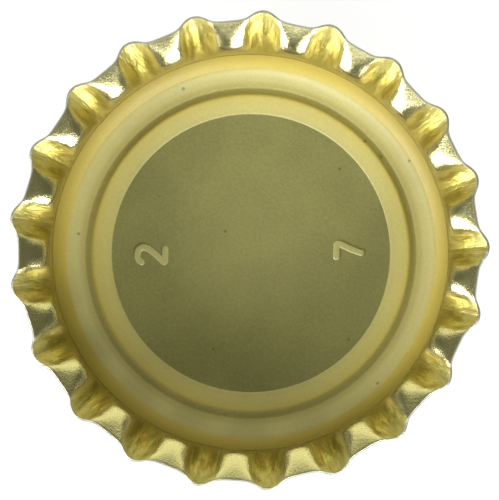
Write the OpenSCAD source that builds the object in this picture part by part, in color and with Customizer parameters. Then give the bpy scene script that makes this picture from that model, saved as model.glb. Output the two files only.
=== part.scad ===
// Crown cap, 26 mm type, as made: a fluted tinplate shell with a moulded sealing liner.
// The mouth faces up (+Z). The origin is the outer panel's centre, which the cap rests on.
// The middle of one tooth lies on the +X axis. All lengths are in millimetres.

/* [Shell] */
// Diameter over the tips of the teeth
tip_d = 32.1; // [31.6:0.1:32.6]
// Inside diameter of the plain wall between the shoulder and the flutes
wall_d = 26.7; // [26.4:0.1:27]
// Height from the panel's apex to the edge of the teeth
cap_h = 6; // [5.7:0.1:6.6]
// Thickness of the tinplate
sheet = 0.24; // [0.18:0.01:0.28]
// Outside radius of the shoulder that joins the panel to the wall
shoulder_r = 1.7; // [1.5:0.1:1.8]
// Radius of the panel's outward dome
panel_r = 160; // [140:5:200]

/* [Flutes] */
// Number of teeth
teeth = 21; // [15:1:25]
// How far the valleys stay inside the tips at the edge, measured across the cap
tooth_depth = 0.63; // [0.4:0.01:0.8]
// Height at which the channels leave the plain wall
flute_z = 2.9; // [2.7:0.1:3.2]
// Height at which the lands between the channels turn outward
turn_z = 4.8; // [4:0.1:5.2]
// Softness of that turn, as a share of the fluted height
turn_soft = 0.15; // [0.08:0.01:0.3]
// Curve of the channels towards the edge: 1 is a straight cone
channel_bend = 1.43; // [1:0.01:1.6]
// Where a channel's sides lie in the lower half of the flutes, in degrees of one tooth's 360
low_side = 53; // [40:1:70]
// The same, where the sides have spread the most
high_side = 78; // [60:1:90]
// The same, at the edge
edge_side = 50; // [40:1:70]
// How gently the sides fold in the lower half: less is sharper
low_fold = 0.13; // [0.1:0.01:0.4]
// The same, where the sides have spread the most
high_fold = 0.6; // [0.3:0.01:0.9]
// The same, at the edge
edge_fold = 0.64; // [0.3:0.01:0.9]
// How far the lands crown towards the cap's axis, at most
land_crown = 0.1; // [0:0.01:0.14]

/* [Liner] */
// Radius of the thin disc in the middle
disc_r = 9.41; // [8.6:0.01:9.8]
// Thickness of the disc
floor_t = 0.28; // [0.2:0.01:0.32]
// Outer radius of the inner bead
inner_bead_r = 10.87; // [10.6:0.01:10.95]
// Thickness of the inner bead at its crest
inner_bead_t = 0.5; // [0.45:0.01:0.7]
// How far the inner bead's lip at the disc lies below its crest
lip_drop = 0.16; // [0.1:0.01:0.2]
// Radius at which the groove between the beads ends
groove_r = 11.06; // [11:0.01:11.2]
// Thickness of the groove's floor
groove_t = 0.18; // [0.1:0.01:0.25]
// Outer radius of the wide sealing bead
outer_bead_r = 12.5; // [12.35:0.01:12.6]
// Thickness of the wide sealing bead at its inner edge
outer_bead_t = 0.34; // [0.32:0.01:0.8]
// Width of the slopes on both sides of the groove
groove_slope = 0.26; // [0.1:0.01:0.4]
// Thickness of the film that climbs the shoulder
film_t = 0.1; // [0.08:0.01:0.2]
// How far the film's edge stands above the shoulder, on the wall
film_rise = 0.05; // [0.02:0.01:0.1]
// Gap that the bonding lacquer fills between the liner and the shell
bond_gap = 0.01; // [0.005:0.005:0.03]

/* [Resolution] */
// Columns of facets in one tooth
tooth_columns = 14; // [8:2:20]
// Rows of facets up the flutes
flute_rows = 8; // [5:1:12]

/* [Hidden] */

wall_r = wall_d / 2;
fluted_h = cap_h - flute_z;
// Length of the flutes' root that is buried in the wall, and how far inside the sheet it runs
root_h = 0.3;
root_inset = 0.02;
round_fn = 96;
dome_fn = 720;

// Centre of the arcs in the shoulder, tangent to the outer wall and to the panel's dome
shoulder_x = wall_r + sheet - shoulder_r;
shoulder_z = panel_r - sqrt(pow(panel_r - shoulder_r, 2) - pow(shoulder_x, 2));

// Height of a sphere about the dome's centre, at a distance from the axis
function dome_z(radius, from_axis) = panel_r - sqrt(radius * radius - from_axis * from_axis);

// ---- Fluted skirt: a surface r(angle, height), given a thickness along its normal ----

// How far the inner face flares at the edge. The cut edge is square to the sheet, so it adds
// the sheet's thickness times the cosine of the channel's slope there.
edge_slope = channel_bend * (tip_d / 2 - wall_r) / fluted_h;
tip_reach = tip_d / 2 - sheet / sqrt(1 + edge_slope * edge_slope) - wall_r;
land_reach = tip_reach - tooth_depth;

// A hyperbola that stays near 0 below a share `turn` and rises evenly above it
function ramp(t, turn) = (sqrt(pow(t - turn, 2) + pow(turn_soft, 2)) + t - turn)
    - (sqrt(pow(turn, 2) + pow(turn_soft, 2)) - turn);
function share(z) = max(0, (z - flute_z) / fluted_h);
function land_out(z) = land_reach
    * ramp(share(z), (turn_z - flute_z) / fluted_h) / ramp(1, (turn_z - flute_z) / fluted_h);
function channel_out(z) = tip_reach * pow(share(z), channel_bend);

// Cross-section of one tooth: 1 in the middle of its channel, 0 in the middle of a land, and a
// soft step between them whose place and gentleness change with the height
spread_share = 0.8;
function along_height(z, low, high, edge) = lookup(share(z),
    [[0, low], [0.5, low], [spread_share, high], [1, edge]]);
function soft_step(x) = 1 / (1 + exp(-x));
function lobe(angle, z) = let (
        side = cos(along_height(z, low_side, high_side, edge_side)),
        fold = along_height(z, low_fold, high_fold, edge_fold),
        low = soft_step((-1 - side) / fold),
        high = soft_step((1 - side) / fold))
    (soft_step((cos(teeth * angle) - side) / fold) - low) / (high - low);
// The lands' crown grows with the square of the height, is fullest at 2/3 and 0 at the edge
function crown_in(angle, z) = land_crown * 27 / 4 * pow(share(z), 2) * (1 - share(z))
    * pow((1 - cos(teeth * angle)) / 2, 2);
function skirt_r(angle, z) = wall_r + land_out(z)
    + (channel_out(z) - land_out(z)) * lobe(angle, z) - crown_in(angle, z);
function on_skirt(angle, z) = [skirt_r(angle, z) * cos(angle), skirt_r(angle, z) * sin(angle), z];

// Unit normal out of the cap, from differences along and up the surface
step_a = 0.05;
step_z = 0.005;
function skirt_normal(angle, z) = let (
        along = on_skirt(angle + step_a, z) - on_skirt(angle - step_a, z),
        up = on_skirt(angle, z + step_z) - on_skirt(angle, z - step_z),
        n = cross(along, up))
    n / norm(n);

// Rows stand closer towards the edge, and columns towards the middle of a channel
row_crowding = 0.8;
column_crowding = 0.35;
function row_z(i) = flute_z + fluted_h * pow(i / flute_rows, row_crowding);
function column_angle(j) = let (turn = 360 * j / tooth_columns)
    (turn - column_crowding * sin(turn) * 180 / PI) / teeth;

// One closed loop of points around the sheet's section: up the inner face, down the outer face
function section_loop(angle) = let (
        root_z = flute_z - root_h,
        radial = [cos(angle), sin(angle), 0])
    concat(
        [(wall_r + root_inset) * radial + [0, 0, root_z]],
        [for (i = [1:flute_rows]) on_skirt(angle, row_z(i))],
        [for (i = [flute_rows:-1:1])
            on_skirt(angle, row_z(i)) + sheet * skirt_normal(angle, row_z(i))],
        [(wall_r + sheet - root_inset) * radial + [0, 0, root_z]]);

module fluted_skirt() {
    columns = teeth * tooth_columns;
    loop = 2 * flute_rows + 2;
    points = [for (j = [0:columns - 1]) each section_loop(column_angle(j))];
    faces = [for (j = [0:columns - 1], k = [0:loop - 1]) let (
            a = j * loop + k,
            b = j * loop + (k + 1) % loop,
            c = ((j + 1) % columns) * loop + (k + 1) % loop,
            d = ((j + 1) % columns) * loop + k)
        each [[a, c, b], [a, d, c]]];
    polyhedron(points, faces, convexity = 8);
}

// ---- Panel, shoulder and plain wall ----

// A point on the line from the dome's centre through the shoulder's, where the two arcs meet
function on_shoulder_line(distance) = [0, panel_r]
    + distance * [shoulder_x, shoulder_z - panel_r] / norm([shoulder_x, shoulder_z - panel_r]);

// All that lies within a face `inset` inside the metal's outer face, from the axis up to `top`
module cup_inside(inset, top) {
    arc = shoulder_r - inset;
    intersection() {
        translate([0, panel_r]) circle(r = panel_r - inset, $fn = dome_fn);
        polygon([
            [0, -shoulder_r],
            on_shoulder_line(panel_r + shoulder_r),
            [shoulder_x, shoulder_z],
            [shoulder_x, top],
            [0, top]]);
    }
    translate([shoulder_x, shoulder_z]) intersection() {
        circle(r = arc, $fn = round_fn);
        translate([0, -shoulder_r]) square(shoulder_r);
    }
    translate([shoulder_x, shoulder_z]) square([arc, top - shoulder_z]);
}

module panel_and_wall() {
    rotate_extrude($fn = round_fn) difference() {
        cup_inside(0, flute_z);
        cup_inside(sheet, flute_z + sheet);
    }
}

module crown_shell() {
    color("goldenrod") {
        panel_and_wall();
        fluted_skirt();
    }
}

// ---- Liner: a thin floor with two raised beads, and a film that climbs the shoulder ----

under = sheet + bond_gap;
film_top = shoulder_z + film_rise;

// Part of the liner that lies within a thickness of the shell, between two radii
module layer(thickness, from_r, to_r) {
    intersection() {
        difference() {
            cup_inside(under, film_top);
            cup_inside(under + thickness, film_top + sheet);
        }
        translate([from_r, 0]) square([to_r - from_r, cap_h]);
    }
}

// Height of a point at a distance from the axis and a thickness above the shell
function above_shell(from_axis, thickness) = dome_z(panel_r - under, from_axis) + thickness;
inner_crest = above_shell(disc_r, inner_bead_t);
outer_crest = above_shell(groove_r, outer_bead_t);

// The inner bead: a lip at the disc, a ramp up to a level crest, and a slope into the groove
module inner_bead() {
    ramp_w = (inner_bead_r - disc_r) * 0.4;
    intersection() {
        cup_inside(under, film_top);
        polygon([
            [disc_r, 0],
            [disc_r, inner_crest - lip_drop],
            [disc_r + ramp_w, inner_crest],
            [inner_bead_r - groove_slope, inner_crest],
            [inner_bead_r, above_shell(inner_bead_r, groove_t)],
            [inner_bead_r, 0]]);
    }
}

// The wide sealing bead: a slope out of the groove and a level crest that ends at the film
module outer_bead() {
    intersection() {
        cup_inside(under, film_top);
        polygon([
            [groove_r, 0],
            [groove_r, above_shell(groove_r, groove_t)],
            [groove_r + groove_slope, outer_crest],
            [outer_bead_r, outer_crest],
            [outer_bead_r, 0]]);
    }
}

module sealing_liner() {
    color("darkkhaki") rotate_extrude($fn = round_fn) {
        layer(floor_t, 0, disc_r);
        layer(groove_t, disc_r, groove_r + groove_slope);
        layer(film_t, outer_bead_r - groove_slope, wall_r);
        inner_bead();
        outer_bead();
    }
}

crown_shell();
sealing_liner();
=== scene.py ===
"""A crown cap lying mouth up: the fluted tinplate shell, its sealing liner and the studio.

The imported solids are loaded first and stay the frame. The shell and the liner are then made
again as fine surfaces in the same place, with their finishes. The cap's classes hold
millimetres; the meshes and the studio are in metres.
"""
from __future__ import annotations

import logging
import math
from dataclasses import dataclass, field
from enum import Enum
from typing import Any, Sequence

import bpy
import numpy as np
from mathutils import Matrix, Vector

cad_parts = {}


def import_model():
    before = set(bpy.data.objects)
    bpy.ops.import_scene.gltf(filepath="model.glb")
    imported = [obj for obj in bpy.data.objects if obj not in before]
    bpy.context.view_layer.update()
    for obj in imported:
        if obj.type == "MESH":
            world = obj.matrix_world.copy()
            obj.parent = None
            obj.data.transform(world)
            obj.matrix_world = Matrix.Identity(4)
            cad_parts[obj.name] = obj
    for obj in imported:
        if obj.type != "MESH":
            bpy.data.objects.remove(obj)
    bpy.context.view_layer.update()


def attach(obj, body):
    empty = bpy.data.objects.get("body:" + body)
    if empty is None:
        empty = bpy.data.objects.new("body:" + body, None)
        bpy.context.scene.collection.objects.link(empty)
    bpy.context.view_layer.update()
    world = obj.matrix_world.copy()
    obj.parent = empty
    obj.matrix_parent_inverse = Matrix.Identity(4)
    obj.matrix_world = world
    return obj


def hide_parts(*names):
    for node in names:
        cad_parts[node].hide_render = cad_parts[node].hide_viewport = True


LOG = logging.getLogger("crown_cap")
MM = 0.001
NUDGE = 1e-3  # a small step along a surface, for its slopes
Array = np.ndarray
Colour = tuple[float, float, float]


class Slot(Enum):
    """The record's material slots."""

    TINPLATE = "lacquered_tinplate"
    COMPOUND = "liner_compound"


class Share(Enum):
    """Numbers that the meshes keep at their points, for the finishes."""

    BARE_EDGE = "bare_edge"
    DRAWN = "drawn"
    FLARE = "flare"
    KEEL = "keel"
    # Raised compound makes the liner paler; on the flat disc this share also paints a lift of
    # light towards its middle
    RAISED = "raised"
    GOLDEN = "golden"
    LEAN = "lean"
    # The film's thinning towards the wall, which also carries painted shade there
    WORN_THIN = "worn_thin"


# ---- Shader maths ----


class Wire:
    """One number on its way through a material's nodes. Operators add Math nodes."""

    def __init__(self, graph: Graph, socket: bpy.types.NodeSocket | None) -> None:
        """Keeps the graph and its output socket, which a last node doesn't have."""
        self.graph = graph
        self.socket = socket

    def _math(self, operation: str, *terms: Wire | float) -> Wire:
        """Adds one Math node.

        Args:
            operation: Blender's name of the operation.
            terms: the node's inputs in order, wires or plain numbers.

        Returns:
            The node's result.
        """
        return self.graph.node("ShaderNodeMath", {"operation": operation}, dict(enumerate(terms)))

    def __add__(self, other: Wire | float) -> Wire:
        """Sum."""
        return self._math("ADD", self, other)

    __radd__ = __add__

    def __sub__(self, other: Wire | float) -> Wire:
        """Difference."""
        return self._math("SUBTRACT", self, other)

    def __rsub__(self, other: float) -> Wire:
        """Difference, reflected."""
        return self._math("SUBTRACT", other, self)

    def __mul__(self, other: Wire | float) -> Wire:
        """Product."""
        return self._math("MULTIPLY", self, other)

    __rmul__ = __mul__

    def clamp(self) -> Wire:
        """The number held between 0 and 1."""
        return self.graph.node("ShaderNodeClamp", {}, {0: self})

    def rise(self, low: float, high: float) -> Wire:
        """A smooth step.

        Args:
            low: where the step is 0.
            high: where the step is 1, which may be below low.

        Returns:
            The step's value.
        """
        return self.graph.node(
            "ShaderNodeMapRange",
            {"interpolation_type": "SMOOTHSTEP"},
            {"Value": self, "From Min": low, "From Max": high},
        )


@dataclass
class Graph:
    """The nodes of one material or world."""

    tree: bpy.types.NodeTree

    def node(
        self,
        kind: str,
        settings: dict[str, Any] | None = None,
        inputs: dict[str | int, Any] | None = None,
        out: str | int = 0,
    ) -> Wire:
        """Adds one node.

        Args:
            kind: the node's type.
            settings: its properties, set first.
            inputs: the value or wire of each socket, by its name or number.
            out: the output to hand on, by its name or number.

        Returns:
            The chosen output.
        """
        made = self.tree.nodes.new(kind)
        for name, value in (settings or {}).items():
            setattr(made, name, value)
        for name, value in (inputs or {}).items():
            if isinstance(value, Wire):
                self.tree.links.new(value.socket, made.inputs[name])
            else:
                made.inputs[name].default_value = value
        return Wire(self, made.outputs[out] if len(made.outputs) else None)

    def blend(self, share: Wire | float, first: Wire | Colour, second: Wire | Colour) -> Wire:
        """Mixes two colours.

        Args:
            share: how much of the second one.
            first: a colour or a wire that carries one.
            second: the same.

        Returns:
            The mixed colour.
        """
        full = [(*c, 1.0) if isinstance(c, tuple) else c for c in (first, second)]
        return self.node(
            "ShaderNodeMix",
            {"data_type": "RGBA"},
            {0: share, 6: full[0], 7: full[1]},
            out=2,
        )

    def vector(self, operation: str, *terms: Any) -> Wire:
        """Adds one Vector Math node.

        Args:
            operation: Blender's name of the operation.
            terms: its inputs in order, or {"Scale": factor} as a last one.

        Returns:
            The node's vector.
        """
        inputs: dict[str | int, Any] = {}
        for place, term in enumerate(terms):
            inputs.update(term if isinstance(term, dict) else {place: term})
        return self.node("ShaderNodeVectorMath", {"operation": operation}, inputs)

    def attribute(self, share: Share) -> Wire:
        """A number that the mesh keeps at its points."""
        return self.node("ShaderNodeAttribute", {"attribute_name": share.value}, out="Fac")

    def bump(self, height: Wire, strength: float, distance_mm: float) -> Wire:
        """A normal turned by a height, of which 1 stands for the distance."""
        return self.node("ShaderNodeBump", {}, {
            "Strength": strength, "Distance": distance_mm * MM, "Height": height})

    def surface(self, inputs: dict[str, Wire | float]) -> None:
        """Adds the surface's shader, with its sockets by name, and the material's output."""
        shader = self.node("ShaderNodeBsdfPrincipled", {}, inputs)
        self.node("ShaderNodeOutputMaterial", {}, {"Surface": shader})

    def place_mm(self) -> Wire:
        """The point's Object coordinates in millimetres."""
        here = self.node("ShaderNodeTexCoord", out="Object")
        return self.vector("SCALE", here, {"Scale": 1.0 / MM})

    def noise(self, where: Wire, scale: float, detail: float, rough: float) -> Wire:
        """Noise between 0 and 1 at a place.

        Args:
            where: the coordinates.
            scale: how many features there are in one unit of them.
            detail: how many finer layers are added.
            rough: how strong the finer layers are.

        Returns:
            The noise.
        """
        return self.node(
            "ShaderNodeTexNoise",
            {},
            {"Vector": where, "Scale": scale, "Detail": detail, "Roughness": rough},
        )


def new_material(name: str) -> tuple[bpy.types.Material, Graph]:
    """Makes an empty node material.

    Args:
        name: the finish's name.

    Returns:
        The material and its graph.
    """
    material = bpy.data.materials.new(name)
    material.use_nodes = True
    material.node_tree.nodes.clear()
    return material, Graph(material.node_tree)


# ---- Meshes ----


def turned_grid(name: str, points: Array, shares: dict[Share, Array]) -> bpy.types.Object:
    """Puts a closed grid of points around the Z axis into a mesh whose faces point outwards.

    Its rows run over the upper side from the axis outwards, and back to the axis below. Cells
    are quads, the last column joins the first, and the first and the last row each shrink to
    one vertex, with a fan of triangles.

    Args:
        name: the piece's name.
        points: an array (rows, columns, 3) in millimetres, poles included.
        shares: values (rows, columns) to keep at the mesh's points.

    Returns:
        The piece.
    """
    rows, columns, _ = points.shape
    inner = points[1:-1].reshape(-1, 3)
    vertices = np.concatenate([points[0, :1], inner, points[-1, :1]]) * MM
    row, column = np.meshgrid(np.arange(rows - 3), np.arange(columns), indexing="ij")
    after = (column + 1) % columns
    quads = 1 + np.stack(
        [row * columns + column, (row + 1) * columns + column,
         (row + 1) * columns + after, row * columns + after], axis=-1).reshape(-1, 4)
    ring = np.arange(columns)
    first = np.stack([np.zeros(columns, int), 1 + ring, 1 + (ring + 1) % columns], axis=-1)
    base = 1 + (rows - 3) * columns
    last_vertex = len(vertices) - 1
    last = np.stack(
        [np.full(columns, last_vertex), base + (ring + 1) % columns, base + ring], axis=-1)
    mesh = fill_mesh(name, vertices, [quads, first, last])
    for share, values in shares.items():
        keep_share(mesh, share, np.concatenate(
            [values[0, :1], values[1:-1].ravel(), values[-1, :1]]))
    return as_piece(name, mesh)


def keep_share(mesh: bpy.types.Mesh, share: Share, values: Array) -> None:
    """Keeps one number at each of a mesh's points."""
    layer = mesh.attributes.new(share.value, "FLOAT", "POINT")
    layer.data.foreach_set("value", values.astype(np.float32))


def fill_mesh(name: str, vertices: Array, groups: Sequence[Array]) -> bpy.types.Mesh:
    """Makes a smooth-shaded mesh from arrays.

    Args:
        name: the mesh's name.
        vertices: an array (n, 3) in metres.
        groups: arrays (faces, corners) of vertex numbers, one for each number of corners.

    Returns:
        The mesh.
    """
    mesh = bpy.data.meshes.new(name)
    corners = np.concatenate([group.ravel() for group in groups]).astype(np.int32)
    counts = np.concatenate([np.full(len(group), group.shape[1]) for group in groups])
    mesh.vertices.add(len(vertices))
    mesh.vertices.foreach_set("co", vertices.astype(np.float32).ravel())
    mesh.loops.add(len(corners))
    mesh.loops.foreach_set("vertex_index", corners)
    mesh.polygons.add(len(counts))
    starts = np.concatenate([[0], np.cumsum(counts)[:-1]]).astype(np.int32)
    mesh.polygons.foreach_set("loop_start", starts)
    mesh.polygons.foreach_set("use_smooth", np.ones(len(counts), bool))
    mesh.update(calc_edges=True)
    mesh.validate()
    return mesh


def as_piece(name: str, data: bpy.types.ID) -> bpy.types.Object:
    """Links a mesh, a light or a camera to the scene as an object at the origin."""
    piece = bpy.data.objects.new(name, data)
    bpy.context.scene.collection.objects.link(piece)
    return piece


def dress(piece: bpy.types.Object, finish: bpy.types.Material) -> None:
    """Gives a piece its finish and its material slot, and lets it ride on the cap's one body."""
    piece.data.materials.append(finish)
    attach(piece, "root")


def turned(profile: Array, columns: int) -> Array:
    """Turns a profile about the Z axis.

    Args:
        profile: an array (rows, 2) of distance from the axis and height.
        columns: how many points go round.

    Returns:
        The points (rows, columns, 3): distance times cosine, distance times sine, height.
    """
    angle = 2 * math.pi * np.arange(columns) / columns
    return np.stack(
        [profile[:, :1] * np.cos(angle), profile[:, :1] * np.sin(angle),
         np.repeat(profile[:, 1:], columns, axis=1)], axis=-1)


def arc(centre: tuple[float, float], radius: float, start: float, end: float, steps: int) -> Array:
    """Points on an arc: centre plus radius times (cosine, sine) of evenly spaced angles.

    Args:
        centre: its centre, as distance from the axis and height.
        radius: its radius.
        start: the first angle in radians.
        end: the last angle.
        steps: how many points.

    Returns:
        The points (steps, 2).
    """
    angle = np.linspace(start, end, steps)
    return np.stack([centre[0] + radius * np.cos(angle), centre[1] + radius * np.sin(angle)], -1)


def rounded_path(path: Array, reach: Array, steps: int) -> Array:
    """A line through points, whose inner corners are rounded.

    Each corner is replaced by a quadratic curve from a point before it to one after it: the
    weights are (1 - t) squared, 2 t (1 - t) and t squared. It takes less than half of each
    line, so no two curves meet.

    Args:
        path: the points (n, 2).
        reach: how far each of the n - 2 inner corners' curve reaches along its two lines.
        steps: points on each curve.

    Returns:
        The points, from the first one to the last.
    """
    corner = path[1:-1]
    before, after = path[:-2] - corner, path[2:] - corner
    room_before = np.linalg.norm(before, axis=1, keepdims=True)
    room_after = np.linalg.norm(after, axis=1, keepdims=True)
    most = 0.49
    start = corner + before * np.minimum(reach[:, None] / room_before, most)
    end = corner + after * np.minimum(reach[:, None] / room_after, most)
    share = np.linspace(0, 1, steps)[None, :, None]
    curve = start[:, None] * (1 - share) ** 2 + 2 * corner[:, None] * share * (1 - share) \
        + end[:, None] * share**2
    return np.concatenate([path[:1], curve.reshape(-1, 2), path[-1:]])


def path_lengths(path: Array) -> Array:
    """How far along a path (n, 2) each of its points lies."""
    return np.concatenate([[0], np.cumsum(np.linalg.norm(np.diff(path, axis=0), axis=1))])


def at_lengths(path: Array, lengths: Array) -> Array:
    """The points (n, 2) at some lengths along a path, on straight lines between its own."""
    along = path_lengths(path)
    return np.stack([np.interp(lengths, along, path[:, axis]) for axis in (0, 1)], -1)


# ---- The shell ----


@dataclass(frozen=True)
class CapSizes:
    """Sizes that the shell and the liner share, in millimetres."""

    tip_d: float = 32.1
    wall_d: float = 26.7
    cap_h: float = 6.0
    sheet: float = 0.24
    shoulder_r: float = 1.7
    panel_r: float = 160.0
    teeth: int = 21
    tooth_depth: float = 0.6
    flute_z: float = 2.9

    @property
    def wall_r(self) -> float:
        """Inside radius of the plain wall."""
        return self.wall_d / 2

    @property
    def fluted_h(self) -> float:
        """Height of the flutes."""
        return self.cap_h - self.flute_z

    @property
    def shoulder_centre(self) -> tuple[float, float]:
        """Centre of the shoulder's arcs, tangent to the outer wall and to the dome."""
        across = self.wall_r + self.sheet - self.shoulder_r
        return across, self.panel_r - math.sqrt((self.panel_r - self.shoulder_r) ** 2 - across**2)

    def dome(self, inset: float, across: Array) -> Array:
        """Height of the dome inside its outer face: R - sqrt((R - inset)^2 - across^2)."""
        return self.panel_r - np.sqrt((self.panel_r - inset) ** 2 - np.square(across))

    def cup(self, inset: float, dome_steps: int, arc_steps: int) -> Array:
        """The dome and the shoulder's arc, an inset inside the metal's outer face.

        Args:
            inset: how far inside.
            dome_steps: points from the axis to the arc.
            arc_steps: points along the arc, up to the wall.

        Returns:
            The profile (rows, 2), from the axis outwards.
        """
        across, high = self.shoulder_centre
        start = math.atan2(high - self.panel_r, across)
        bend = arc((across, high), self.shoulder_r - inset, start, 0.0, arc_steps)
        flat = np.linspace(0.0, bend[0, 0], dome_steps, endpoint=False)
        return np.concatenate([np.stack([flat, self.dome(inset, flat)], -1), bend])


@dataclass
class CrownShell:
    """The pressed tinplate shell with its fluted, flared skirt."""

    sizes: CapSizes
    # Where the lands turn outward, how softly, and the share of it that is left to their lip
    turn_z: float = 4.7
    turn_soft: float = 0.15
    land_lip: float = 0.52
    # How far the lands crown inward, and the channels' curve: 1 is a straight cone
    land_crown: float = 0.1
    channel_bend: float = 1.43
    # A channel's sides, in degrees of one tooth's 360, and how gently they fold, at each share
    # of the flutes' height
    side_shares: tuple[float, ...] = (0.0, 0.4, 0.8, 1.0)
    sides: tuple[float, ...] = (53.0, 53.0, 78.0, 37.0)
    folds: tuple[float, ...] = (0.13, 0.13, 0.6, 0.42)
    # The dull metal's half width in a channel, likewise, and how wide it fades
    matt_shares: tuple[float, ...] = (0.3, 0.8, 1.0)
    matt_widths: tuple[float, ...] = (113.0, 88.0, 80.0)
    matt_fade: float = 24.0
    # How far below the turn the dull metal goes all round, and over which height that ends
    matt_drop: float = 0.15
    matt_rise: float = 0.35
    keel_width: float = 0.02
    edge_round: float = 0.05
    edge_steps: int = 5
    columns_in_tooth: int = 36
    rows: int = 40
    row_crowding: float = 0.9

    def share(self, height: Array) -> Array:
        """The height as a share of the flutes', 0 where they start."""
        cap = self.sizes
        return np.clip((height - cap.flute_z) / cap.fluted_h, 0, None)

    def lobe(self, angle: Array, height: Array) -> Array:
        """A tooth's cross-section: 1 in the middle of its channel and 0 in that of a land.

        It is the logistic step of the tooth's cosine, less a limit that changes with the
        height, over a softness that does too, stretched to run from 0 to 1. Between two shares
        of the height both change along a smooth step, 3 t squared less 2 t cubed.

        Args:
            angle: angles in radians.
            height: heights of the same shape.

        Returns:
            The lobe's share.
        """
        order = np.arange(len(self.side_shares))
        place = np.interp(self.share(height), self.side_shares, order)
        part = place % 1
        place = place - part + part**2 * (3 - 2 * part)
        side = np.cos(np.radians(np.interp(place, order, self.sides)))
        fold = np.interp(place, order, self.folds)

        def soft_step(at: Array | float) -> Array:
            """The logistic step."""
            return 1 / (1 + np.exp(-(at - side) / fold))

        low, high = soft_step(-1.0), soft_step(1.0)
        return (soft_step(np.cos(self.sizes.teeth * angle)) - low) / (high - low)

    def skirt_radius(self, angle: Array, height: Array) -> Array:
        """Radius of the skirt's inner face.

        The lands turn outward along a hyperbola, blended with the square of the height above
        the turn. The channels flare as a power of the height. The lobe blends the two, and the
        lands crown inward as the share squared times 1 less the share, which is 4/27 at most.

        Args:
            angle: angles in radians.
            height: heights of the same shape.

        Returns:
            The radii.
        """
        cap = self.sizes
        reach = cap.tip_d / 2 - cap.wall_r
        slope = self.channel_bend * reach / cap.fluted_h
        tip_reach = reach - cap.sheet / math.sqrt(1 + slope * slope)
        share = self.share(height)
        turn = (self.turn_z - cap.flute_z) / cap.fluted_h
        soft = self.turn_soft

        def ramp(at: Array | float) -> Array:
            """A hyperbola near 0 below the turn, even above it."""
            return np.sqrt(np.square(at - turn) + soft**2) + at - turn \
                - (math.sqrt(turn**2 + soft**2) - turn)

        lip = np.square(np.clip((share - turn) / (1 - turn), 0, None))
        even = ramp(share) / ramp(1.0)
        land = (tip_reach - cap.tooth_depth) * (even + self.land_lip * (lip - even))
        channel = tip_reach * share**self.channel_bend
        crown = self.land_crown * 27 / 4 * share**2 * np.clip(1 - share, 0, 1) \
            * np.square((1 - np.cos(cap.teeth * angle)) / 2)
        return cap.wall_r + land + (channel - land) * self.lobe(angle, height) - crown

    def matt(self, angle: Array, height: Array) -> Array:
        """How dull the drawn metal is.

        It is 1 within a channel's dull width and all round below the lands' turn, 0 beyond,
        and fades evenly between.

        Args:
            angle: angles in radians.
            height: heights of the same shape.

        Returns:
            The shares.
        """
        turn = np.degrees(np.arccos(np.clip(np.cos(self.sizes.teeth * angle), -1, 1)))
        width = np.interp(self.share(height), self.matt_shares, self.matt_widths)
        in_channel = np.clip((width - turn) / self.matt_fade + 0.5, 0, 1)
        above = np.clip((height - self.turn_z + self.matt_drop) / self.matt_rise, 0, 1)
        return np.maximum(in_channel, 1 - above)

    def skirt(self, angle: Array, height: Array) -> Array:
        """Points of the inner face: radius times cosine, radius times sine, height."""
        radius = self.skirt_radius(angle, height)
        return np.stack([radius * np.cos(angle), radius * np.sin(angle), height], -1)

    def outward(self, angle: Array, height: Array) -> Array:
        """Unit normals out of the cap: the cross product of differences along and up.

        Args:
            angle: angles in radians.
            height: heights of the same shape.

        Returns:
            The normals.
        """
        turn = NUDGE / 10
        along = self.skirt(angle + turn, height) - self.skirt(angle - turn, height)
        up = self.skirt(angle, height + NUDGE) - self.skirt(angle, height - NUDGE)
        normal = np.cross(along, up)
        return normal / np.linalg.norm(normal, axis=-1, keepdims=True)

    def cut_edge(self, angle: Array, inner: Array, normal: Array) -> tuple[Array, Array]:
        """The cut edge's two rounded corners, inner and outer.

        Each is a quarter circle, 1 less the cosine across the sheet and 1 less the sine down
        along it, times the radius.

        Args:
            angle: the columns' angles in radians.
            inner: the inner face's last row (columns, 3).
            normal: its unit normals.

        Returns:
            The rows (steps, columns, 3) of the inner corner, and of the outer one.
        """
        top = np.full(len(angle), self.sizes.cap_h)
        up = self.skirt(angle, top) - self.skirt(angle, top - NUDGE)
        up /= np.linalg.norm(up, axis=-1, keepdims=True)
        turn = np.linspace(0, math.pi / 2, self.edge_steps)
        back = (self.edge_round * (1 - np.sin(turn)))[:, None, None] * up
        across = (self.edge_round * (1 - np.cos(turn)))[:, None, None] * normal
        outer = inner + self.sizes.sheet * normal
        return inner + across - back, outer - across[::-1] - back[::-1]

    def cup_and_wall(self, inset: float, dome_steps: int, columns: int) -> Array:
        """One face of the dome, the shoulder and the plain wall, turned about the axis.

        Args:
            inset: how far the face lies inside the metal's outer face.
            dome_steps: points from the axis to the shoulder.
            columns: how many points go round.

        Returns:
            The points (rows, columns, 3), from the axis outwards.
        """
        cap = self.sizes
        across = cap.wall_r + cap.sheet - inset
        half_up = (cap.shoulder_centre[1] + cap.flute_z) / 2
        wall = [[across, half_up], [across, cap.flute_z]]
        return turned(np.concatenate([cap.cup(inset, dome_steps, arc_steps=10), wall]), columns)

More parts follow.
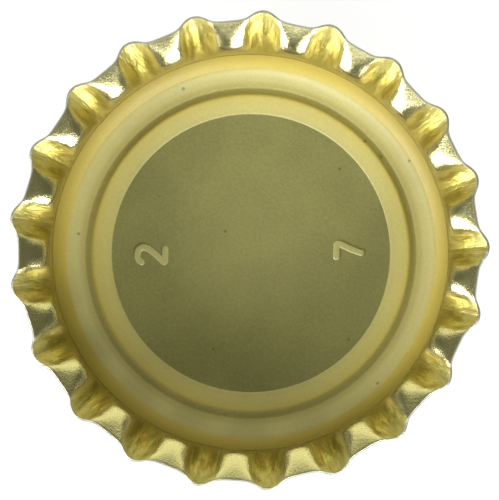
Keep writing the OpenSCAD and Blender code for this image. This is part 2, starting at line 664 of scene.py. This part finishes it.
    def surface(self) -> tuple[Array, dict[Share, Array]]:
        """The whole closed surface.

        Rows run from the inner pole out along the dome, up the shoulder, the wall and the
        skirt's inner face, round the cut edge, and back along the outer faces to the outer
        pole. A channel's middle line, its keel, is the exponential of the tooth's cosine less
        1, over a width.

        Returns:
            The points (rows, columns, 3), and the shares (rows, columns): of bare cut edge, of
            drawn metal and of a channel's keel; and the flare, in millimetres out of the wall.
        """
        cap = self.sizes
        columns = cap.teeth * self.columns_in_tooth
        angle = 2 * math.pi * np.arange(columns) / columns
        rise = np.linspace(0, 1, self.rows + 1)[1:] ** self.row_crowding
        height, around = np.meshgrid(cap.flute_z + cap.fluted_h * rise, angle, indexing="ij")
        inner = self.skirt(around, height)
        normal = self.outward(around, height)
        outer = (inner + cap.sheet * normal)[::-1]
        wall_in = self.cup_and_wall(cap.sheet, dome_steps=6, columns=columns)
        wall_out = self.cup_and_wall(0.0, dome_steps=12, columns=columns)[::-1]
        corners = self.cut_edge(angle, inner[-1], normal[-1])
        parts = [wall_in, inner[:-1], *corners, outer[1:], wall_out]
        matt = self.matt(around, height)
        flare = np.maximum(self.skirt_radius(around, height) - cap.wall_r, 0)
        keel = np.exp((np.cos(cap.teeth * around) - 1) / self.keel_width)

        def over_parts(*shares: float | Array) -> Array:
            """One share for each part, spread over its points."""
            return np.concatenate([np.broadcast_to(share, part.shape[:2])
                                   for part, share in zip(parts, shares)])

        return np.concatenate(parts), {
            Share.BARE_EDGE: over_parts(0.0, 0.0, 0.6, 1.0, 0.0, 0.0),
            Share.DRAWN: over_parts(1.0, matt[:-1], matt[-1:], 0.0, 0.0, 0.0),
            Share.FLARE: over_parts(0.0, flare[:-1], flare[-1:], 0.0, 0.0, 0.0),
            Share.KEEL: over_parts(0.0, keel[:-1], 0.0, 0.0, 0.0, 0.0)}

    def build(self, finish: bpy.types.Material) -> bpy.types.Object:
        """Makes the shell and puts it in place of its solid."""
        piece = turned_grid("fluted_shell", *self.surface())
        dress(piece, finish)
        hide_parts("crown_shell")
        return piece


# ---- The liner ----


@dataclass
class SealingLiner:
    """The moulded compound: a thin disc, two raised beads and a film up the shoulder."""

    sizes: CapSizes
    disc_r: float = 9.41
    floor_t: float = 0.28
    inner_bead_r: float = 10.87
    inner_bead_t: float = 0.44
    lip_drop: float = 0.13
    groove_r: float = 11.06
    groove_t: float = 0.18
    outer_bead_r: float = 12.5
    film_t: float = 0.2
    film_edge_t: float = 0.02
    film_rise: float = 0.05
    bond_gap: float = 0.01
    columns: int = 480
    disc_rows: int = 20
    film_rows: int = 20
    edge_rows: int = 6
    corner_rows: int = 7
    # How far apart the beads' rows are at most, and how close they may be
    row_step: float = 0.08
    row_merge: float = 0.002

    @property
    def under(self) -> float:
        """How far the liner's lower face lies inside the metal's outer face."""
        return self.sizes.sheet + self.bond_gap

    def floor(self, across: Array) -> Array:
        """Height of the thin disc's upper face at distances from the axis."""
        return self.sizes.dome(self.under, across) + self.floor_t

    def film(self) -> Array:
        """The film's upper face, from the wide bead's outer edge up to the wall.

        It is the shoulder's arc, drawn in by the sheet, the gap and the film, whose thickness
        falls to that of its edge with the square of the way along it.

        Returns:
            The profile (rows, 2).
        """
        centre = self.sizes.shoulder_centre
        radius = self.sizes.shoulder_r - self.under - self.film_t
        meet = -math.acos((self.outer_bead_r - centre[0]) / radius)
        turn = np.linspace(meet, 0.0, self.film_rows)[:, None]
        thinning = (self.film_t - self.film_edge_t) * (1 - turn / meet) ** 2
        return np.array([centre]) \
            + (radius + thinning) * np.concatenate([np.cos(turn), np.sin(turn)], -1)

    def beads(self, start: Array, foot: float, end: Array) -> Array:
        """The upper face of both beads and the groove.

        Corner points of the section are joined by straight lines, whose corners are rounded
        with quadratic curves, and rows are added where they would stand far apart.

        Args:
            start: the last point of the disc.
            foot: the height of the wide bead's outer edge.
            end: the first point of the film.

        Returns:
            The profile (rows, 2), with both ends.
        """
        disc, bead, groove, rim = self.disc_r, self.inner_bead_r, self.groove_r, self.outer_bead_r

        def level(at: float, thick: float) -> tuple[float, float]:
            """A point at a distance from the axis and a thickness above the shell."""
            return at, float(self.sizes.dome(self.under, np.array(at))) + thick

        crest = level(disc, self.inner_bead_t)[1]
        # Each corner of the section, and how far its rounding reaches
        section = [
            (level(disc, self.floor_t), 0.03),
            ((disc + 0.06, crest - self.lip_drop), 0.05),
            ((bead - 0.19, crest), 0.12),
            (level(groove - 0.11, self.groove_t + 0.05), 0.1),
            (level(groove + 0.09, self.groove_t + 0.03), 0.04),
            ((groove + 0.21, foot - 0.18), 0.04),
            ((groove + 0.6, foot - 0.15), 0.2),
            ((groove + 1.0, foot - 0.1), 0.2),
            ((rim - 0.04, foot - 0.003), 0.03),
            ((rim, foot), 0.02),
        ]
        corners = np.array([corner for corner, _ in section])
        reach = np.array([rounding for _, rounding in section])
        path = rounded_path(np.concatenate([start, corners, end]), reach, self.corner_rows)
        along = path_lengths(path)
        rows = np.union1d(along, np.arange(0.0, along[-1], self.row_step))
        return at_lengths(path, rows[np.diff(rows, prepend=-1.0) > self.row_merge])

    def top(self) -> Array:
        """The upper face, from the axis over the disc, the beads and the film to its edge.

        Returns:
            The profile (rows, 2).
        """
        cap = self.sizes
        near_lip = [self.disc_r - 0.12, self.disc_r - 0.06]
        flat = np.concatenate([np.linspace(0.0, self.disc_r - 0.3, self.disc_rows), near_lip])
        disc = np.stack([flat, self.floor(flat)], -1)
        film = self.film()
        beads = self.beads(disc[-1:], film[0, 1], film[1:2])
        half = self.film_edge_t / 2
        edge_centre = (cap.wall_r - self.bond_gap - half,
                       cap.shoulder_centre[1] + self.film_rise - half)
        edge = arc(edge_centre, half, math.pi, 0.0, self.edge_rows)
        return np.concatenate([disc[:-1], beads, film[2:], edge])

    def shares(self, radius: Array) -> dict[Share, Array]:
        """The finish's shares at distances from the axis, each a line through its stations.

        The lean is the integral of the tilt over the distance: a height in millimetres, for
        the finish's bump.

        Args:
            radius: the distances (rows,).

        Returns:
            The shares (rows,): how much raised compound there is, with a painted lift of light
            towards the flat disc's middle; how much gold shows through it; how thin the film runs
            towards the wall, where it is also darkened as painted shade; and the lean.
        """
        disc, bead, groove, rim = self.disc_r, self.inner_bead_r, self.groove_r, self.outer_bead_r

        def graded(*stations: tuple[float, float]) -> Array:
            """A line through stations, which are (distance, value) pairs."""
            return np.interp(radius, *np.transpose(stations))

        tilt = graded(
            (disc, 0.0), (disc + 0.08, 0.12), (bead - 0.25, 0.16), (bead - 0.15, 0.22),
            (groove - 0.13, 0.22), (groove - 0.04, 0.0), (groove + 0.2, 0.05),
            (groove + 0.5, 0.05), (rim - 0.04, 0.03), (rim, 0.0))
        return {
            # The first three stations paint light: the flat disc is made paler towards its middle,
            # where no compound is raised
            Share.RAISED: graded(
                (0.0, 0.1), (3.0, 0.08), (7.5, 0.0), (disc - 0.02, 0.0), (disc + 0.07, 0.86),
                (disc + 0.5, 0.97), (bead - 0.2, 1.0), (groove - 0.13, 0.34),
                (groove + 0.09, 0.23), (groove + 0.21, 0.68), (groove + 0.4, 0.72),
                (groove + 0.65, 0.93)),
            Share.GOLDEN: graded(
                (disc, 0.0), (disc + 0.1, 0.38), (disc + 0.5, 0.42), (bead - 0.35, 0.66),
                (bead - 0.15, 0.95), (groove + 0.05, 0.7), (groove + 0.3, 0.35),
                (groove + 0.75, 0.0), (rim - 0.3, 0.08), (rim - 0.04, 0.3), (rim + 0.06, 1.0)),
            # Towards the wall the film thins, and this share also paints shade up the steep
            # shoulder
            Share.WORN_THIN: graded((rim + 0.1, 0.0), (rim + 0.45, 0.5), (self.sizes.wall_r, 1.0)),
            Share.LEAN: np.concatenate(
                [[0], np.cumsum((tilt[1:] + tilt[:-1]) / 2 * np.diff(radius))]),
        }

    def build(self, finish: bpy.types.Material) -> bpy.types.Object:
        """Makes the liner, with its lower face a gap above the shell, in place of its solid."""
        below = self.sizes.cup(self.under, dome_steps=8, arc_steps=16)[::-1]
        profile = np.concatenate([self.top(), below])
        shares = {share: np.repeat(values[:, None], self.columns, axis=1)
                  for share, values in self.shares(profile[:, 0]).items()}
        piece = turned_grid("liner_rings", turned(profile, self.columns), shares)
        dress(piece, finish)
        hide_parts("sealing_liner")
        return piece


# ---- Numerals ----


class Digit(Enum):
    """Plain digits as strokes in a box 1 high: each a list of (across, up) points."""

    TWO = ((0.06, 0.74), (0.10, 0.88), (0.22, 0.98), (0.37, 1.0), (0.52, 0.96), (0.62, 0.84),
           (0.61, 0.68), (0.50, 0.50), (0.30, 0.27), (0.04, 0.02), (0.34, 0.0), (0.68, 0.0))
    SEVEN = ((0.04, 1.0), (0.36, 1.0), (0.66, 0.99), (0.56, 0.74), (0.44, 0.50), (0.34, 0.25),
             (0.26, 0.0))


@dataclass
class Numerals:
    """Two raised digits on the disc, moulded with it. Their tops point to -X."""

    liner: SealingLiner
    height: float = 1.9
    stroke: float = 0.45
    rise: float = 0.08
    sink: float = 0.05
    rows: int = 90
    columns: int = 24
    # The rounding of a digit's line as a share of its height, and its points
    corner: float = 0.09
    corner_rows: int = 5
    places: dict[Digit, float] = field(default_factory=lambda: {
        Digit.TWO: -6.75, Digit.SEVEN: 6.75})

    def ridge(self, digit: Digit, across: float) -> tuple[Array, list[Array]]:
        """One digit's stroke as a closed ridge.

        The path is a smoothed line through the digit's points, evenly spaced. Its section is
        a half ellipse with squared corners, from the roots of the cosine and the sine, that
        stands on the disc and reaches a little into it. At each end the section shrinks along
        a quarter circle.

        Args:
            digit: which digit.
            across: where its middle lies on the X axis.

        Returns:
            The vertices in metres, and the arrays of faces.
        """
        line = rounded_path(np.array(digit.value), np.full(len(digit.value) - 2, self.corner),
                            self.corner_rows)
        even = np.linspace(0, path_lengths(line)[-1], self.rows)
        line = at_lengths(line, even) * self.height
        line = line - (line.max(axis=0) + line.min(axis=0)) / 2
        path = np.stack([across - line[:, 1], line[:, 0]], -1)
        ahead = np.gradient(path, axis=0)
        ahead /= np.linalg.norm(ahead, axis=1, keepdims=True)
        side = np.stack([-ahead[:, 1], ahead[:, 0]], -1)
        from_end = np.minimum(even, even[-1] - even) * self.height
        near = np.clip(from_end / (self.stroke / 2), 0.0, 1.0)
        least = 0.004
        swell = np.sqrt(np.clip(1 - np.square(1 - near), least, 1.0))
        columns = self.columns
        turn = np.linspace(-math.pi, math.pi, columns, endpoint=False)
        wide = np.sign(np.cos(turn)) * np.sqrt(np.abs(np.cos(turn))) * self.stroke / 2
        tall = np.where(turn > 0, np.sqrt(np.abs(np.sin(turn))) * self.rise,
                        np.sin(turn) * self.sink)
        flat = path[:, None] + side[:, None] * (wide[None, :] * swell[:, None])[..., None]
        ground = self.liner.floor(np.hypot(flat[..., 0], flat[..., 1]))
        top = ground + tall[None, :] * swell[:, None]
        points = np.concatenate([flat, top[..., None]], -1)
        row, column = np.meshgrid(np.arange(self.rows - 1), np.arange(columns), indexing="ij")
        after = (column + 1) % columns
        quads = np.stack([row * columns + column, row * columns + after,
                          (row + 1) * columns + after, (row + 1) * columns + column], -1)
        ring = np.arange(columns)[None]
        ends = [ring[:, ::-1], (self.rows - 1) * columns + ring]
        return points.reshape(-1, 3) * MM, [quads.reshape(-1, 4), *ends]

    def build(self, finish: bpy.types.Material) -> list[bpy.types.Object]:
        """Makes each digit a piece of its own.

        Args:
            finish: the liner's finish, in which the digits count as raised in part.

        Returns:
            The pieces.
        """
        raised = 0.6
        pieces = []
        for digit, across in self.places.items():
            name = f"numeral_{digit.name.lower()}"
            mesh = fill_mesh(name, *self.ridge(digit, across))
            keep_share(mesh, Share.RAISED, np.full(len(mesh.vertices), raised))
            pieces.append(as_piece(name, mesh))
            dress(pieces[-1], finish)
        return pieces


# ---- Finishes ----


@dataclass(frozen=True)
class GoldLacquer:
    """Bright tinplate under a thin gold lacquer, bare and grey along the cut edge."""

    gold: Colour = (0.68, 0.64, 0.32)
    gold_dim: Colour = (0.54, 0.50, 0.26)
    gold_matt: Colour = (0.62, 0.53, 0.13)
    # The next colour is painted shade in the drawn streaks' dents
    gold_dent_shade: Colour = (0.30, 0.235, 0.03)
    # The next colour is painted shade, for the channels' foot and the plain wall
    gold_low_shade: Colour = (0.40, 0.32, 0.065)
    gold_tip: Colour = (0.56, 0.51, 0.18)
    bare: Colour = (0.45, 0.46, 0.44)
    # Roughness of the bright lands, and what is added on their lip, on drawn metal, low down
    # in a channel and on the cut edge
    land_rough: float = 0.17
    lip_rough: float = 0.08
    drawn_rough: float = 0.14
    low_rough: float = 0.15
    edge_rough: float = 0.22
    # How much less metallic drawn metal is, and how much more so near the teeth
    drawn_veil: float = 0.2
    tip_veil: float = 0.25
    # The streaks run up the skirt: noise on the unit circle's points times its mean radius,
    # with the height shortened
    skirt_r: float = 14.7
    streak_stretch: float = 0.4
    relief_mm: float = 0.12

    def streaks(self, graph: Graph, here: Wire) -> Wire:
        """Drawn streaks, as noise between 0 and 1.

        Args:
            graph: the material's graph.
            here: the point's place in millimetres.

        Returns:
            The noise.
        """
        flat = graph.vector("MULTIPLY", here, (1.0, 1.0, 0.0))
        around = graph.vector("SCALE", graph.vector("NORMALIZE", flat), {"Scale": self.skirt_r})
        up = graph.vector("MULTIPLY", here, (0.0, 0.0, self.streak_stretch))
        return graph.noise(graph.vector("ADD", around, up), scale=2.3, detail=3.0, rough=0.6)

    def material(self) -> bpy.types.Material:
        """The finish: dull drawn streaks in the channels, painted darker in their dents as shade,
        and fine grain on bright lands.

        A channel is painted darker low down, as shade at its foot and on the plain wall, and is
        rougher low down; it is paler near its tooth.

        Returns:
            The material.
        """
        material, graph = new_material("gold_lacquered_tinplate")
        here = graph.place_mm()
        streak = self.streaks(graph, here)
        grain = graph.noise(here, scale=7.0, detail=3.0, rough=0.65)
        edge, drawn, flare, keel = (graph.attribute(share) for share in (
            Share.BARE_EDGE, Share.DRAWN, Share.FLARE, Share.KEEL))
        low, high = flare.rise(1.3, 0.05), flare.rise(1.1, 2.0)
        # Painted shade: where the streaks' bump sinks a dent, the colour darkens to the deep gold
        dull = graph.blend(streak.rise(0.42, 0.6) * 0.8, self.gold_matt, self.gold_dent_shade)
        dull = graph.blend(high * 0.5, dull, self.gold_tip)
        # Painted shade: low in a channel and on the plain wall, the colour goes to the low gold
        dull = graph.blend(low, dull, self.gold_low_shade)
        bright = graph.blend(grain.rise(0.35, 0.75) * 0.5, self.gold, self.gold_dim)
        lip = flare.rise(0.5, 1.4) * self.lip_rough
        drawn_rough = self.drawn_rough + 0.1 * streak + low * self.low_rough - lip
        relief = (streak * -1.2 - keel * 0.3) * drawn + grain * 0.2
        graph.surface({
            "Base Color": graph.blend(edge, graph.blend(drawn, bright, dull), self.bare),
            "Metallic": 1.0 - drawn * (self.drawn_veil + high * self.tip_veil),
            "Roughness": self.land_rough + 0.05 * grain + lip + drawn * drawn_rough
            + edge * self.edge_rough,
            "Normal": graph.bump(relief, strength=0.8, distance_mm=self.relief_mm)})
        return material


@dataclass(frozen=True)
class LinerCompound:
    """Soft translucent compound: olive where it is thin over the gold, pale where thick."""

    thin: Colour = (0.315, 0.302, 0.092)
    pale: Colour = (0.79, 0.72, 0.195)
    gold: Colour = (0.61, 0.495, 0.085)
    gold_thin: Colour = (0.27, 0.20, 0.025)
    speck: Colour = (0.10, 0.09, 0.03)
    ior: float = 1.6
    # The coat stands for the milky sheen of thick compound, which is broad and strong
    coat_ior: float = 3.2
    coat_rough: float = 0.42
    grain_mm: float = 0.012
    # How many cells of specks there are in a millimetre, and a speck's reach in its cell
    speck_cells: float = 0.42
    speck_reach: tuple[float, float] = (0.06, 0.03)

    def material(self) -> bpy.types.Material:
        """The finish: the compound's own colours, grain and clouds in them, and a few specks, with
        a painted lift of light on the flat disc's middle and painted shade where the film runs up
        to the wall.

        The mottle darkens the colour by 0.3 at most, and by half of that where it is raised.

        Returns:
            The material.
        """
        material, graph = new_material("liner_compound")
        here = graph.place_mm()
        raised, golden, thin_and_shaded, lean = (graph.attribute(share) for share in (
            Share.RAISED, Share.GOLDEN, Share.WORN_THIN, Share.LEAN))
        grain = graph.noise(here, scale=5.5, detail=3.0, rough=0.65)
        cloud = graph.noise(here, scale=0.35, detail=2.0, rough=0.5)
        thick = graph.blend(golden, self.pale, self.gold)
        # Raised compound is paler; on the flat disc's middle the same share paints a lift of light
        body = graph.blend(raised, graph.blend(golden * 0.3, self.thin, self.gold_thin), thick)
        shade = grain.rise(0.3, 0.7) * 0.55 + cloud.rise(0.3, 0.7) * 0.3
        mottled = graph.blend(
            shade, body, graph.vector("SCALE", body, {"Scale": 0.7 + 0.15 * raised}))
        # Painted shade towards the wall, along with the film's thinning: the colour darkens to the
        # thin gold
        mottled = graph.blend(thin_and_shaded * 0.8, mottled, self.gold_thin)
        cells = graph.node("ShaderNodeTexVoronoi", {"feature": "F1"}, {
            "Vector": here, "Scale": self.speck_cells})
        dirty = cells.rise(*self.speck_reach) * 0.7
        graph.surface({
            "Base Color": graph.blend(dirty, mottled, self.speck),
            "Roughness": 0.5 + 0.12 * grain,
            "IOR": self.ior,
            "Coat Weight": raised * (0.95 - golden),
            "Coat Roughness": self.coat_rough,
            "Coat IOR": self.coat_ior,
            "Normal": graph.bump(lean + grain * self.grain_mm, strength=1.0, distance_mm=1.0)})
        return material


# ---- The studio ----


class LampShape(Enum):
    """The outline of a soft light."""

    DISK = "DISK"
    ELLIPSE = "ELLIPSE"
    RECTANGLE = "RECTANGLE"


@dataclass(frozen=True)
class Lamp:
    """A soft light that faces the cap: angles in degrees, sizes in metres."""

    name: str
    azimuth: float
    elevation: float
    distance: float
    width: float
    height: float
    radiance: float
    shape: LampShape = LampShape.ELLIPSE
    colour: Colour = (1.0, 1.0, 1.0)

    def build(self) -> bpy.types.Object:
        """Makes the light, whose power is the radiance times the area times pi."""
        light = bpy.data.lights.new(self.name, "AREA")
        light.shape = self.shape.value
        light.size = self.width
        if self.shape is not LampShape.DISK:
            light.size_y = self.height
        filled = 1.0 if self.shape is LampShape.RECTANGLE else math.pi / 4
        light.energy = self.radiance * self.width * self.height * filled * math.pi
        light.color = self.colour
        lamp = as_piece(self.name, light)
        azimuth, elevation = math.radians(self.azimuth), math.radians(self.elevation)
        towards = Vector((math.cos(azimuth) * math.cos(elevation),
                          math.sin(azimuth) * math.cos(elevation), math.sin(elevation)))
        lamp.location = towards * self.distance
        lamp.rotation_euler = towards.to_track_quat("Z", "Y").to_euler()
        return lamp


@dataclass
class Studio:
    """The pale floor, the lights and the camera."""

    cap_h: float
    # The camera's turn in degrees, its lean off the axis as a share, its distance in metres,
    # the scale at the rim, and the pixel of the rim's middle in the picture
    roll: float = 0.6
    lean: tuple[float, float] = (0.031, -0.039)
    distance: float = 0.3
    mm_per_pixel: float = 0.0665
    rim_pixel: tuple[float, float] = (248.4, 250.0)
    frame_px: tuple[int, int] = (499, 500)
    sensor_mm: float = 36.0
    # The floor's half side and its backdrop's height in metres, and how it glows when seen
    floor_side: float = 1.5
    backdrop_h: float = 0.16
    floor_glow: float = 0.92
    floor_faint: Colour = (0.15, 0.15, 0.15)
    floor_lit: Colour = (0.8, 0.8, 0.8)
    air: Colour = (0.135, 0.138, 0.105)
    lamps: list[Lamp] = field(default_factory=lambda: [
        Lamp("left_softbox", azimuth=210.0, elevation=19.0, distance=0.40,
             width=0.24, height=0.135, radiance=22.0),
        Lamp("front_softbox", azimuth=297.0, elevation=19.0, distance=0.40,
             width=0.24, height=0.135, radiance=22.0),
        Lamp("high_softbox", azimuth=245.0, elevation=60.0, distance=0.45,
             width=0.16, height=0.16, radiance=4.0, shape=LampShape.DISK),
        Lamp("far_card", azimuth=87.0, elevation=24.0, distance=0.27, width=0.54, height=0.22,
             radiance=1.05, shape=LampShape.RECTANGLE, colour=(1.0, 0.97, 0.72)),
    ])

    def floor(self) -> bpy.types.Object:
        """A broad pale floor with a low rim of backdrop, white but for the cap's shadow.

        It glows where it is seen, with a faint lit part that keeps the shadow, and lights the
        cap as a plain pale surface.

        Returns:
            The floor.
        """
        side = self.floor_side
        square = np.array([[-side, -side, 0], [side, -side, 0], [side, side, 0], [-side, side, 0]])
        corner = np.arange(4)
        after = (corner + 1) % 4
        walls = np.stack((corner, corner + 4, after + 4, after), axis=1)
        floor = as_piece("floor", fill_mesh(
            "floor", np.vstack((square, square + [0, 0, self.backdrop_h])), [corner[None], walls]))
        material, graph = new_material("pale_floor")
        rays = [graph.node("ShaderNodeLightPath", out=name) for name in
                ("Is Camera Ray", "Is Glossy Ray", "Is Transmission Ray")]
        seen = (rays[0] + rays[1] + rays[2]).clamp()
        lit, faint = (graph.node("ShaderNodeBsdfDiffuse", {}, {"Color": (*colour, 1.0)})
                      for colour in (self.floor_lit, self.floor_faint))
        glow = graph.node("ShaderNodeEmission", {}, {
            "Color": (1.0, 1.0, 1.0, 1.0), "Strength": self.floor_glow})
        both = graph.node("ShaderNodeAddShader", {}, {0: faint, 1: glow})
        shader = graph.node("ShaderNodeMixShader", {}, {0: seen, 1: lit, 2: both})
        graph.node("ShaderNodeOutputMaterial", {}, {"Surface": shader})
        floor.data.materials.append(material)
        return floor

    def world(self) -> None:
        """A dim, even surrounding light."""
        world = bpy.data.worlds.new("studio_air")
        world.use_nodes = True
        world.node_tree.nodes.clear()
        graph = Graph(world.node_tree)
        air = graph.node("ShaderNodeBackground", {}, {"Color": (*self.air, 1.0), "Strength": 1.0})
        graph.node("ShaderNodeOutputWorld", {}, {"Surface": air})
        bpy.context.scene.world = world

    def camera(self) -> bpy.types.Object:
        """The camera above the cap, turned by the roll.

        The rim's centre falls on its own pixel, so the camera aims beside it.

        Returns:
            The camera.
        """
        data = bpy.data.cameras.new("camera")
        camera = as_piece("camera", data)
        back = Vector((*self.lean, 1.0)).normalized()
        turn = math.radians(self.roll)
        up = Vector((math.sin(turn), math.cos(turn), 0.0))
        right = up.cross(back).normalized()
        above = back.cross(right)
        width, height = self.frame_px
        pixel = self.mm_per_pixel * MM
        aim = Vector((0, 0, self.cap_h * MM)) \
            + right * (width / 2 - self.rim_pixel[0]) * pixel \
            - above * (height / 2 - self.rim_pixel[1]) * pixel
        place = Matrix((right, above, back)).transposed().to_4x4()
        place.translation = aim + back * self.distance
        camera.matrix_world = place
        data.sensor_width = self.sensor_mm
        data.lens = self.sensor_mm * self.distance / (max(width, height) * pixel)
        data.clip_start, data.clip_end = 0.01, 10.0
        bpy.context.scene.camera = camera
        return camera

    def build(self) -> None:
        """Sets up the whole studio and the plain view transform."""
        self.floor()
        self.world()
        for lamp in self.lamps:
            lamp.build()
        self.camera()
        bpy.context.scene.view_settings.view_transform = "Standard"


def corners(box: Any) -> list[list[float]]:
    """A box's corners as plain lists of numbers."""
    return [[float(value) for value in corner] for corner in box]


def main() -> None:
    """Builds the cap and the studio."""
    logging.basicConfig(level=logging.INFO, format="%(name)s: %(message)s")
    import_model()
    sizes = CapSizes()
    Studio(sizes.cap_h).build()
    liner = SealingLiner(sizes)
    compound = LinerCompound().material()
    pieces = [
        CrownShell(sizes).build(GoldLacquer().material()),
        liner.build(compound),
        *Numerals(liner).build(compound),
    ]
    for piece in pieces:
        piece.data.calc_loop_triangles()
        LOG.info("%s: %d triangles", piece.name, len(piece.data.loop_triangles))


if __name__ == "__main__":
    main()
